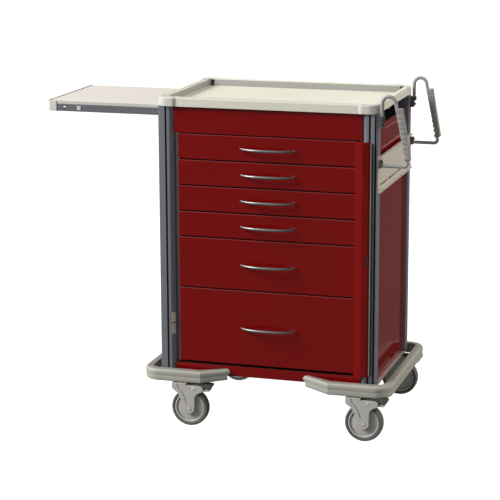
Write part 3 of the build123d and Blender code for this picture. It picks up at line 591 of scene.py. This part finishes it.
def tray():
    """A moulded tray: rounded rim, leaning walls and a flat floor with a soft fillet round it. Its walls
    are painted darker as shade and its floor lighter as painted light.
    """
    outer = (TRAY.x0, TRAY.x1, TRAY.y0, TRAY.y1, TRAY_CORNER)
    well = (-WELL_X, WELL_X, WELL_FRONT, WELL_REAR, WELL_CORNER)
    top_x = WELL_X + SIDE_LEAN
    well_top = (-top_x, top_x, WELL_FRONT, WELL_REAR + WELL_LEAN, WELL_CORNER)
    z0, z1 = TRAY.z0, TRAY.z1

    def ring(base, grow, z):
        x0, x1, y0, y1, r = base
        outline = rounded_rectangle(x0 - grow, x1 + grow, y0 - grow, y1 + grow, r + grow, 8)
        return [(x, y, z) for x, y in outline]

    loops = [ring(outer, -3, z0), ring(outer, -0.6, z0), ring(outer, 0, z0 + 1.2)]
    for grow, z in arc(-TRAY_RIM, z1 - TRAY_RIM, TRAY_RIM, 0, 90, 6):
        loops.append(ring(outer, grow, z))
    for grow, z in arc(TRAY_RIM, z1 - TRAY_RIM, TRAY_RIM, 90, 180, 6):
        loops.append(ring(well_top, grow, z))
    for grow, z in arc(-WELL_FILLET, TRAY_FLOOR + WELL_FILLET, WELL_FILLET, 0, -90, 5):
        loops.append(ring(well, grow, z))
    points, faces = loft(loops)
    moulding = new_piece("tray_moulding", points, faces, TRAY_CREAM, "cart",
                         ("top_tray",), 40)
    # Painted shade on the walls of the well.
    repaint(moulding, TRAY_WALL_SHADE, is_well_wall)
    # Painted light on the floor of the well.
    repaint(moulding, TRAY_DECK_LIT, is_well_floor)


def tray_corner_gaps():
    """Dark strips in the corners of the well, painted shade for the joints there. Each follows the lean of
    the wall behind it.
    """
    levels = ((TRAY_FLOOR + 2.0, 0.0), (TRAY_FLOOR + 4.0, 0.0), (TRAY.z1 - 4.0, 0.97))
    walls = ((WELL_FRONT, -1, "front", 0.0), (WELL_REAR, 1, "rear", WELL_LEAN))
    for side, side_word in ((-1, "left"), (1, "right")):
        for wall, face, face_word, lean in walls:
            loops = []
            for z, share in levels:
                end_x = side * (WELL_X - GAP_END + SIDE_LEAN * share)
                x0, x1 = sorted((end_x, side * (WELL_X - GAP_START)))
                proud = wall + lean * share - face * GAP_PROUD
                buried = wall + lean * share + face * GAP_BURIED
                loops.append([(x0, proud, z), (x1, proud, z), (x1, buried, z), (x0, buried, z)])
            points, faces = loft(loops)
            new_piece(f"tray_corner_gap_{side_word}_{face_word}", points, faces, SHADE_SHEET, "cart")


CAP_LIP = 14.0
CAP_SIDE_X = 302.0
CAP_SIDE_Y = 192.0
CAP_SIDE_STEPS = 12
CAP_CORNER_R = 36.0
CAP_CORNER_STEPS = 16
CAP_TURN = 52.0
CAP_EDGE_R = 5.0
CAP_WALL = 9.0
CAP_SKIN = 3.0


def cap_path(side, face):
    """Plan of a corner cap's outer side: (x, y, outward x, outward y, distance from the nearer end)."""
    r = CAP_CORNER_R
    cx, cy = CAPS.x1 - r, CAPS.y1 - r
    path = []
    for i in range(CAP_SIDE_STEPS):
        path.append((CAP_SIDE_X + (cx - CAP_SIDE_X) * i / CAP_SIDE_STEPS, CAPS.y1, 0.0, 1.0))
    for i in range(CAP_CORNER_STEPS + 1):
        a = radians(90 - 90 * i / CAP_CORNER_STEPS)
        path.append((cx + r * cos(a), cy + r * sin(a), cos(a), sin(a)))
    for i in range(1, CAP_SIDE_STEPS + 1):
        path.append((CAPS.x1, cy + (CAP_SIDE_Y - cy) * i / CAP_SIDE_STEPS, 1.0, 0.0))
    lengths = [0.0]
    for a, b in zip(path, path[1:]):
        lengths.append(lengths[-1] + sqrt((a[0] - b[0]) ** 2 + (a[1] - b[1]) ** 2))
    total = lengths[-1]
    return [(side * x, face * y, side * nx, face * ny, min(s, total - s))
            for (x, y, nx, ny), s in zip(path, lengths)]


def cap_rise(s, proud):
    """How far a cap stands out at a distance from its end: an arc that starts at CAP_TURN degrees."""
    turn = radians(CAP_TURN)
    radius = proud / (1 - cos(turn))
    reach = radius * sin(turn)
    if s >= reach:
        return proud
    return sqrt(radius ** 2 - (reach - s) ** 2) - radius * cos(turn)


def cap_section(inset):
    """Section of a corner cap as (depth from its outer side, z), where the cap is set back by inset."""
    z0, z1 = CAPS.z0, CAPS.z1
    r = CAP_EDGE_R
    section = [(CAP_LIP, z1), (inset + r + 3, z1)]
    section += [(inset + r - dx, z1 - r + dz) for dx, dz in arc(0, 0, r, 90, 0, 6)]
    section += [(inset, z0 + 2.5), (inset + 0.7, z0 + 0.7), (inset + 2.5, z0), (CAP_WALL, z0)]
    section += [(CAP_WALL, z1 - CAP_SKIN), (CAP_LIP, z1 - CAP_SKIN)]
    return section


def corner_caps():
    """Four corner guards, each a soft bulge that rises from the band and wraps round the corner."""
    proud = CAPS.x1 - TRAY.x1
    for corner in CORNERS:
        side, face = signs(corner)
        loops = []
        for x, y, nx, ny, s in cap_path(side, face):
            section = cap_section(proud - cap_rise(s, proud) - 0.01)
            loops.append([(x - nx * depth, y - ny * depth, z) for depth, z in section])
        points, faces = loft(loops)
        new_piece(f"tray_cap_{corner}", points, faces, CAP_CREAM, "cart",
                  ("corner_caps",), 40)


# ---- side shelf -------------------------------------------------------------------------------------
TRIM_WIDE = 5.0
TRIM_END_GAP = 4.0
TRIM_Z = (-4, 1.8)
SCREW_X = -702.5
SCREW_Z = 1031.5
SCREW_PROFILE = [(0.4, -1.2), (2.2, -1.0), (3.2, -0.3), (3.3, 0.4), (0.4, 0.5)]


def side_shelf():
    """The pull-out shelf. Its board's front edge is painted greyer as shade, and the top of its end cap is
    in the board's laminate.
    """
    board = dress("shelf_board", LAMINATE, 0.4)
    # Painted shade on the board's front edge.
    repaint(board, HUB_LIGHT, lambda x, y, z, normal: normal.y < -0.7)
    dress("shelf_rails", RAIL_GREY, 0.5)
    cap = dress("shelf_end_cap", CAP_CREAM, 0.8, 3)
    repaint(cap, LAMINATE, lambda x, y, z, normal: normal.z > 0.7)
    dress("shelf_latch_button", HUB_LIGHT, 0.8)
    x = (SHELF_CAP.x0, SHELF_CAP.x0 + TRIM_WIDE)
    y = (SHELF_CAP.y0 + TRIM_END_GAP, SHELF_CAP.y1 - TRIM_END_GAP)
    z = [SHELF_CAP.z1 + rise for rise in TRIM_Z]
    slab("shelf_edge_trim", x, y, z, 0.8, HANDLE_GREY, "side_shelf")
    lathe_y("shelf_rail_screw", SCREW_PROFILE, (SCREW_X, RAILS.y0, SCREW_Z), CHROME, "side_shelf",
            steps=20, closed=False)


# ---- push handles -----------------------------------------------------------------------------------
GRIPS = Span("handle_grips")
GRIP_SLANT = 10.3
GRIP_Y = 236.0
GRIP_SCALLOPS = 9
SCALLOP_STEPS = 12
GRIP_HALF_Y = 9.5
GRIP_OUT = 9.5
GRIP_IN = 12.0
GRIP_DIP = 6.0
GRIP_CAD_R = 12.0
GRIP_HEAD = 10.0
GRIP_TAIL = 7.0
GRIP_END_R = 2.5
GRIP_FLARE = 1.2
GRIP_CORNER = 3.4


def grip(name, y):
    """A moulded bar with finger scallops along its inner side."""
    slant = radians(GRIP_SLANT)
    run = Vector((sin(slant), 0, -cos(slant)))
    out = Vector((cos(slant), 0, sin(slant)))
    drop = GRIP_CAD_R * sin(slant)
    top = Vector((GRIPS.x0 + GRIP_CAD_R * cos(slant), 0, GRIPS.z1 - drop))
    low = Vector((GRIPS.x1 - GRIP_CAD_R * cos(slant), 0, GRIPS.z0 + drop))
    length = (low - top).length
    stations = GRIP_SCALLOPS * SCALLOP_STEPS
    loops = []
    for i in range(stations + 1):
        s = length * i / stations
        end = min(s, length - s)
        shrink = GRIP_END_R - sqrt(GRIP_END_R ** 2 - (GRIP_END_R - end) ** 2) if end < GRIP_END_R else 0.0
        wave = 0.0
        if GRIP_HEAD < s < length - GRIP_TAIL:
            phase = (s - GRIP_HEAD) / (length - GRIP_HEAD - GRIP_TAIL) * GRIP_SCALLOPS
            wave = sin(pi * phase) ** 2
        flare = GRIP_FLARE if s < GRIP_HEAD else 0.0
        inner = shrink - GRIP_IN + GRIP_DIP * wave - flare
        outer = GRIP_OUT - shrink + flare * 0.5
        half = GRIP_HALF_Y - shrink - 0.5 * wave
        outline = rounded_rectangle(inner, outer, -half, half, GRIP_CORNER, 4)
        centre = top + run * s
        loops.append([tuple(centre + out * u + Vector((0, y + v, 0))) for u, v in outline])
    points, faces = loft(loops)
    new_piece(name, points, faces, GRIP_GREY, "cart", ("handle_grips",), 40)


def push_handles():
    dress("push_handle_front", HANDLE_GREY)
    dress("push_handle_rear", HANDLE_GREY)
    dress("handle_clamps", CLAMP_DARK, 1.0)
    grip("grip_front", -GRIP_Y)
    grip("grip_rear", GRIP_Y)


def accessory_panel():
    dress("accessory_panel", CREAM_PAINT, 0.5)
    dress("panel_screws", CHROME, 0.8)


# ---- bumpers ----------------------------------------------------------------------------------------
TIP = (123.0, 246.0)
TIP_RISE = 7.0                        # how far the upper edge rises towards a tip
TIP_CUT = 10.5                        # and the lower edge
BEND_X = 215.5
BEND_R = 4.0
CORNER_R = 55.0
NOSE = 9.5
GROOVE_Z = 166.5
LOBE_MIDDLE = 177.0
BUMPER_TOP = 188.0
BODY_X = 365.0
BODY_FRONT = -239.0
BODY_REAR = 246.0
RIB_PITCH = 9.0
RIB_HALF = 1.0
RIB_DEPTH = (9.0, 23.0)
RIB_QUADS = [(0, 1, 3, 2), (4, 6, 7, 5), (0, 4, 5, 1), (2, 3, 7, 6), (0, 2, 6, 4), (1, 5, 7, 3)]
FLANGE_DEPTH = 24.0
FILLET_STEP = 6.0                     # degrees
NOSE_STATIONS = (0.0, 0.4, 1.2, 2.6, 4.6, 7.0, NOSE)


def fillet_path(corners, radii):
    """An open polyline with rounded corners, as (x, y, outward x, outward y). It turns to the left."""
    path = []

    def station(x, y, run):
        path.append((x, y, run[1], -run[0]))

    points = [Vector(c) for c in corners]
    runs = [(b - a).normalized() for a, b in zip(points, points[1:])]
    station(*points[0], runs[0])
    for i, radius in enumerate(radii):
        before, after = runs[i], runs[i + 1]
        turn = atan2(before.cross(after), before.dot(after))
        back = radius * tan(abs(turn) / 2)
        begin = points[i + 1] - before * back
        normal = Vector((before.y, -before.x))
        centre = begin - normal * radius
        steps = max(2, int(abs(turn) * 180 / pi / FILLET_STEP))
        for k in range(steps + 1):
            a = turn * k / steps
            out_x = normal.x * cos(a) - normal.y * sin(a)
            out_y = normal.x * sin(a) + normal.y * cos(a)
            out = Vector((out_x, out_y))
            p = centre + out * radius
            path.append((p.x, p.y, out.x, out.y))
    station(*points[-1], runs[-1])
    return path


def bumper_outline():
    corners = [(TIP[0], -TIP[1]), (BEND_X, BUMPER.y0), (BUMPER.x1, BUMPER.y0),
               (BUMPER.x1, BUMPER.y1), (BEND_X, BUMPER.y1), TIP]
    return fillet_path(corners, [BEND_R, CORNER_R, CORNER_R, BEND_R])


def bumper_section():
    """A bumper's section as (inset from the outline, z): a round upper lobe, proud of a flat lower one."""
    z0, z1 = BUMPER.z0, BUMPER_TOP
    section = [(27.0, z1 - 1.2), (25.0, z1 - 0.2), (17.0, z1), (12.0, z1)]
    for degrees in (72, 54, 36, 18, 0):
        a = radians(degrees)
        section.append((11 - 11 * cos(a), z1 - 10 + 10 * sin(a)))
    section += [(0.2, GROOVE_Z + 6), (0.6, GROOVE_Z + 3.6), (1.2, GROOVE_Z + 1.6), (1.6, GROOVE_Z)]
    section += [(1.6, GROOVE_Z - 1.6), (1.3, GROOVE_Z - 4.0), (1.1, GROOVE_Z - 7)]
    section += [(1.3, z0 + 6), (2.2, z0 + 2.6), (4.0, z0 + 0.6), (7.4, z0)]
    section += [(9.0, z0 + 1.0), (9.2, z1 - 8), (11.0, z1 - 5.4), (25.0, z1 - 4.6)]
    return section


def outside_body(x, y):
    """Moves a point that would be inside the cart's body to the body's nearer face."""
    if x >= BODY_X:
        return x, y
    if BODY_FRONT < y < 0:
        return x, BODY_FRONT
    if 0 <= y < BODY_REAR:
        return x, BODY_REAR
    return x, y


def tip_slope(x, z):
    """Lifts a bumper's ends towards the tips, the lower edge more than the upper one."""
    along = min(1.0, max(0.0, (BEND_X - x) / (BEND_X - TIP[0])))
    share = min(1.0, max(0.0, (z - BUMPER.z0) / (BUMPER_TOP - BUMPER.z0)))
    return z + along * (TIP_CUT + (TIP_RISE - TIP_CUT) * share)


def bumper_stations():
    """Stations along the outline: (x, y, outward x, outward y, share of full height, upper lobe only)."""
    outline = bumper_outline()
    ends = []
    for (x, y, nx, ny), along in ((outline[0], 1), (outline[-1], -1)):
        run = (-ny * along, nx * along)
        tip = []
        for s in NOSE_STATIONS:
            swell = sqrt(max(0.0, 1 - (1 - s / NOSE) ** 2))
            tip.append((x + run[0] * s, y + run[1] * s, nx, ny, swell, True))
        tip.append((x + run[0] * (NOSE + 0.2), y + run[1] * (NOSE + 0.2), nx, ny, 1.0, False))
        ends.append(tip)
    middle = [(x, y, nx, ny, 1.0, False) for x, y, nx, ny in outline[1:-1]]
    return ends[0] + middle + ends[1][::-1]


def rib_points(x, y, nx, ny, run, side):
    """The eight corners of a fin that stands across the outline at a point of it."""
    corners = []
    for depth in RIB_DEPTH:
        for w in (-RIB_HALF, RIB_HALF):
            for z in (BUMPER.z0 + 3, BUMPER_TOP - 4.5):
                cx = x - nx * depth + run[0] * w
                cy = y - ny * depth + run[1] * w
                corners.append((side * cx, cy, tip_slope(cx, z)))
    return corners


def bumper_ribs(side_name, side):
    """Thin moulded fins under the top flange, on the inner side of the wall."""
    outline = bumper_outline()
    points = []
    faces = []
    for (ax, ay, anx, any_), (bx, by, bnx, bny) in zip(outline[1:-2], outline[2:-1]):
        length = sqrt((bx - ax) ** 2 + (by - ay) ** 2)
        run = ((bx - ax) / length, (by - ay) / length)
        count = int(length / RIB_PITCH)
        for i in range(count):
            t = (i + 0.5) / count
            x, y = ax + (bx - ax) * t, ay + (by - ay) * t
            nx, ny = anx + (bnx - anx) * t, any_ + (bny - any_) * t
            px, py = x - nx * FLANGE_DEPTH, y - ny * FLANGE_DEPTH
            if px < BODY_X + 1 and BODY_FRONT - 1 < py < BODY_REAR + 1:
                continue
            base = len(points)
            points += rib_points(x, y, nx, ny, run, side)
            faces += [tuple(base + k for k in quad) for quad in RIB_QUADS]
    new_piece(f"bumper_{side_name}_ribs", points, faces, BUMPER_GREY, "cart")


def bumper(side_name, side):
    section = bumper_section()
    loops = []
    for x, y, nx, ny, swell, upper_only in bumper_stations():
        loop = []
        for inset, z in section:
            px, py = outside_body(x - nx * inset, y - ny * inset)
            if upper_only:
                z = LOBE_MIDDLE + (max(z, GROOVE_Z) - LOBE_MIDDLE) * max(swell, 0.12)
            loop.append((side * px, py, tip_slope(px, z)))
        loops.append(loop)
    points, faces = loft(loops)
    moulding = new_piece(f"bumper_{side_name}_moulding", points, faces, BUMPER_GREY, "cart",
                         (f"bumper_{side_name}",), 18)
    # Painted shade on the bumper's upward faces.
    repaint(moulding, BUMPER_TOP_SHADE, lambda x, y, z, normal: normal.z > 0.8)
    bumper_ribs(side_name, side)


# ---- casters ----------------------------------------------------------------------------------------
AXLE_Z = 62.5
CHEEK = 21.5
AXLE_HEAD = 7.6
PIVOT_X = 15.5
PIVOT_Z = 129.5
RIVET_SIDE = ((0.4, 2.9), (3.6, 2.8), (5.0, 2.5), (5.7, 2.0), (5.8, 0.0))
RING_SIDE = ((7.4, 0.4), (7.4, 2.0), (8.5, 2.0), (8.7, 0.4))
PEDAL_RIBS = 4
PEDAL_RIB_PITCH = 4.6
PEDAL_RIB_HALF = (1.0, 13)
TONGUE_START = 44
TONGUE_HALF = 17.8


def half_profile(points):
    """A closed wheel profile from the points of one side."""
    return points + [(r, -y) for r, y in reversed(points)]


# Half sections of the wheel centre and the tyre, as (radius, distance from the middle plane).
WHEEL_SIDE = [(6.2, 16.7), (12.4, 16.7), (13.4, 16.0), (14.4, 12.5), (17, 11.2), (28, 11.6), (38, 11.0),
              (41.5, 10.2), (43.0, 9.3), (44.2, 10.4), (45.0, 13.0), (46.0, 14.4), (49.4, 14.6),
              (50.8, 13.9), (51.4, 12.6)]
TYRE_SIDE = [(51.6, 12.8), (52.2, 15.0), (55.5, 16.0), (59.0, 15.4), (61.2, 12.8), (62.2, 8.5),
             (62.5, 3.0)]


def leg_outline():
    """A fork's raised cheek, as (x from the axle, z), with a curved slot that sets off its leading leg."""
    left = [(-41.0, 145.4), (-57.6, 145.4), (-57.6, 128.4), (-53.8, 124.4), (-39.2, 114.2), (-30.4, 99.4),
            (-20.2, 72.0)]
    hub = arc(0, AXLE_Z, 19.4, 165, 370, 20)
    right = [(19.8, 95.4), (21.8, 103.8), (25.2, 109.0), (32.6, 114.8), (45.2, 120.6), (49.1, 125.8),
             (47.4, 133.2), (39.6, 137.8), (30.0, 138.8), (-10.4, 138.8), (-10.4, 145.4)]
    slot_right = [(-38.0, 145.4), (-37.0, 138.0), (-34.6, 131.0), (-27.6, 124.6), (-17.8, 111.6),
                  (-11.0, 96.4), (-6.2, 81.4)]
    slot_left = [(-9.0, 80.6), (-13.8, 95.6), (-20.4, 110.2), (-29.8, 122.8), (-37.0, 129.6),
                 (-39.8, 137.0)]
    return left + hub + right + slot_right + slot_left


def plate_y(name, outline, x, y0, y1, edge, material, body):
    """A flat plate across Y with its outer edge rounded. y1 is the outer face."""
    outward = 1 if y1 > y0 else -1
    area = sum(a[0] * b[1] - b[0] * a[1] for a, b in zip(outline, outline[1:] + outline[:1]))
    turn = 1 if area > 0 else -1

    def inset(amount):
        loop = []
        count = len(outline)
        for i in range(count):
            a = Vector(outline[i - 1])
            b = Vector(outline[i])
            c = Vector(outline[(i + 1) % count])
            run = ((b - a).normalized() + (c - b).normalized())
            run = run.normalized() if run.length > 1e-6 else (c - a).normalized()
            normal = Vector((-run.y, run.x)) * turn
            loop.append(b + normal * amount)
        return loop

    steps = ((0, y0), (0, y1 - outward * edge), (edge * 0.3, y1 - outward * edge * 0.3), (edge, y1))
    loops = []
    for amount, y in steps:
        loops.append([(x + p[0], y, p[1]) for p in inset(amount)])
    points, faces = loft(loops)
    return new_piece(name, points, faces, material, body, (), 45)


def caster(corner):
    """A fork with raised cheeks, its wheel and tyre, and a ribbed brake pedal."""
    wheel = Span(f"caster_{corner}_wheel")
    pedal = Span(f"caster_{corner}_pedal")
    x = (wheel.x0 + wheel.x1) / 2
    y = (wheel.y0 + wheel.y1) / 2
    fork = dress(f"caster_{corner}_fork", CASTER_GREY, 1.0, 3)

    def is_axle_head(px, py, pz, normal):
        return abs(px - x) < AXLE_HEAD and abs(pz - AXLE_Z) < AXLE_HEAD and abs(py - y) > CHEEK + 0.2

    repaint(fork, HUB_LIGHT, is_axle_head)
    lathe_y(f"wheel_{corner}_centre", half_profile(WHEEL_SIDE), (x, y, AXLE_Z), CASTER_GREY,
            f"wheel_{corner}", (f"caster_{corner}_wheel",))
    lathe_y(f"wheel_{corner}_tread", half_profile(TYRE_SIDE), (x, y, AXLE_Z), TYRE_GREY,
            f"wheel_{corner}", (f"caster_{corner}_tyre",), steps=96)
    body = f"caster_{corner}"
    for side, word in ((-1, "outer"), (1, "inner")):
        face = y + side * CHEEK
        plate_y(f"caster_{corner}_leg_{word}", leg_outline(), x, face - side * 0.5, face + side * 1.8, 0.7,
                CASTER_GREY, body)
        rivet = [(r, side * d) for r, d in RIVET_SIDE]
        lathe_y(f"caster_{corner}_rivet_{word}", rivet, (x + PIVOT_X, face, PIVOT_Z), HUB_LIGHT, body,
                steps=28, closed=False)
        ring = [(r, side * d) for r, d in RING_SIDE]
        lathe_y(f"caster_{corner}_ring_{word}", ring, (x, face, AXLE_Z), GREY_PAINT, body,
                steps=36)
    dress(f"caster_{corner}_pedal", PEDAL_DARK, 0.8, 3)
    brake = f"brake_{corner}"
    half_x, half_y = PEDAL_RIB_HALF
    for i in range(PEDAL_RIBS):
        rib = pedal.x1 - 5 - i * PEDAL_RIB_PITCH
        slab(f"brake_{corner}_rib_{i}", (rib - half_x, rib + half_x), (y - half_y, y + half_y),
             (pedal.z1 - 0.6, pedal.z1 + 0.7), 0.5, PEDAL_DARK, brake, (), 2)
    slab(f"brake_{corner}_tongue", (x + TONGUE_START, pedal.x1 - 9), (y - TONGUE_HALF, y + TONGUE_HALF),
         (pedal.z0 - 2.0, pedal.z0 + 5.0), 1.5, CASTER_GREY, brake)


# ---- studio -----------------------------------------------------------------------------------------
CAMERA_AT = (1636.81, -5764.12, 1910.13)
CAMERA_TARGET = (-129.5, 0.0, 541.73)
CAMERA_ROLL = -0.22                   # degrees
CAMERA_LENS = 132.31
SENSOR_WIDTH = 36.0
FLOOR_HALF = 40.0                     # metres, like all that follows
LIGHT_TARGET = (0.0, 0.0, 0.6)
# Name, place, diameter, watts and colour.
LIGHTS = [
    ("key", (-6.9, -4.0, 5.3), 4.4, 1130, (0.98, 0.985, 1.0)),
    ("front", (0.6, -5.6, 1.6), 2.6, 20, (0.97, 0.98, 1.0)),
    ("top", (-0.3, 0.4, 4.4), 2.6, 6, (1.0, 0.99, 0.96)),
    ("fill", (4.4, 0.4, 1.9), 2.2, 104, (1.0, 0.95, 0.88)),
    ("back", (0.6, 4.4, 2.4), 2.4, 45, (1.0, 0.98, 0.95)),
]
# Height on the sky's ramp, from 0 straight down to 1 straight up, and the colour there.
SKY_STOPS = [(0.45, (0.13, 0.13, 0.13, 1)), (0.75, (0.22, 0.225, 0.235, 1))]


def camera():
    data = bpy.data.cameras.new("camera")
    data.lens = CAMERA_LENS
    data.sensor_width = SENSOR_WIDTH
    data.clip_end = 100.0
    eye = world(*CAMERA_AT)
    view = (world(*CAMERA_TARGET) - eye).normalized()
    turn = view.to_track_quat("-Z", "Y").to_matrix().to_4x4()
    roll = Matrix.Rotation(radians(CAMERA_ROLL), 4, "Z")
    seat = bpy.data.objects.new("camera", data)
    bpy.context.scene.collection.objects.link(seat)
    seat.matrix_world = Matrix.Translation(eye) @ turn @ roll
    bpy.context.scene.camera = seat


def area_light(name, at, size, watts, color):
    data = bpy.data.lights.new(name, "AREA")
    data.shape = "DISK"
    data.size = size
    data.energy = watts
    data.color = color
    lamp = bpy.data.objects.new(name, data)
    lamp.location = at
    lamp.rotation_mode = "QUATERNION"
    lamp.rotation_quaternion = (Vector(LIGHT_TARGET) - Vector(at)).to_track_quat("-Z", "Y")
    bpy.context.scene.collection.objects.link(lamp)


def studio_floor():
    """A pale floor that glows by itself, so that it stays even and adds no light to the cart."""
    size = FLOOR_HALF
    mesh = bpy.data.meshes.new("studio_floor")
    corners = [(-size, -size, 0), (size, -size, 0), (size, size, 0), (-size, size, 0)]
    mesh.from_pydata(corners, [], [(0, 1, 2, 3)])
    floor = bpy.data.objects.new("studio_floor", mesh)
    bpy.context.scene.collection.objects.link(floor)
    pale = surface("pale_floor", (0.30, 0.30, 0.30), 0.9, drift=0.005, patch=0.5, specular=0.0)
    shader = pale.node_tree.nodes["Principled BSDF"]
    shader.inputs["Emission Color"].default_value = (1, 1, 1, 1)
    shader.inputs["Emission Strength"].default_value = 1.0
    mesh.materials.append(pale)
    floor.visible_glossy = False
    floor.visible_diffuse = False


def sky():
    """Soft white from above and dim below, so that gloss stays calm."""
    sky_world = bpy.data.worlds.new("studio_sky")
    bpy.context.scene.world = sky_world
    sky_world.use_nodes = True
    tree = sky_world.node_tree
    back = tree.nodes["Background"]
    back.inputs["Strength"].default_value = 1.0
    coords = tree.nodes.new("ShaderNodeTexCoord")
    split = tree.nodes.new("ShaderNodeSeparateXYZ")
    ramp = tree.nodes.new("ShaderNodeValToRGB")
    for stop, (place, color) in zip(ramp.color_ramp.elements, SKY_STOPS):
        stop.position = place
        stop.color = color
    lift = tree.nodes.new("ShaderNodeMapRange")
    lift.inputs["From Min"].default_value = -1.0
    tree.links.new(coords.outputs["Generated"], split.inputs["Vector"])
    tree.links.new(split.outputs["Z"], lift.inputs["Value"])
    tree.links.new(lift.outputs["Result"], ramp.inputs["Fac"])
    tree.links.new(ramp.outputs["Color"], back.inputs["Color"])


def studio():
    camera()
    studio_floor()
    sky()
    for light in LIGHTS:
        area_light(*light)
    bpy.context.scene.view_settings.view_transform = "Standard"


# ---- build ------------------------------------------------------------------------------------------
studio()
corner_posts()
body_panels()
for drawer_number in DRAWERS:
    drawer(drawer_number)
lock_bar()
tray()
tray_corner_gaps()
corner_caps()
side_shelf()
push_handles()
accessory_panel()
bumper("right", 1)
bumper("left", -1)
for corner_name in CORNERS:
    caster(corner_name)
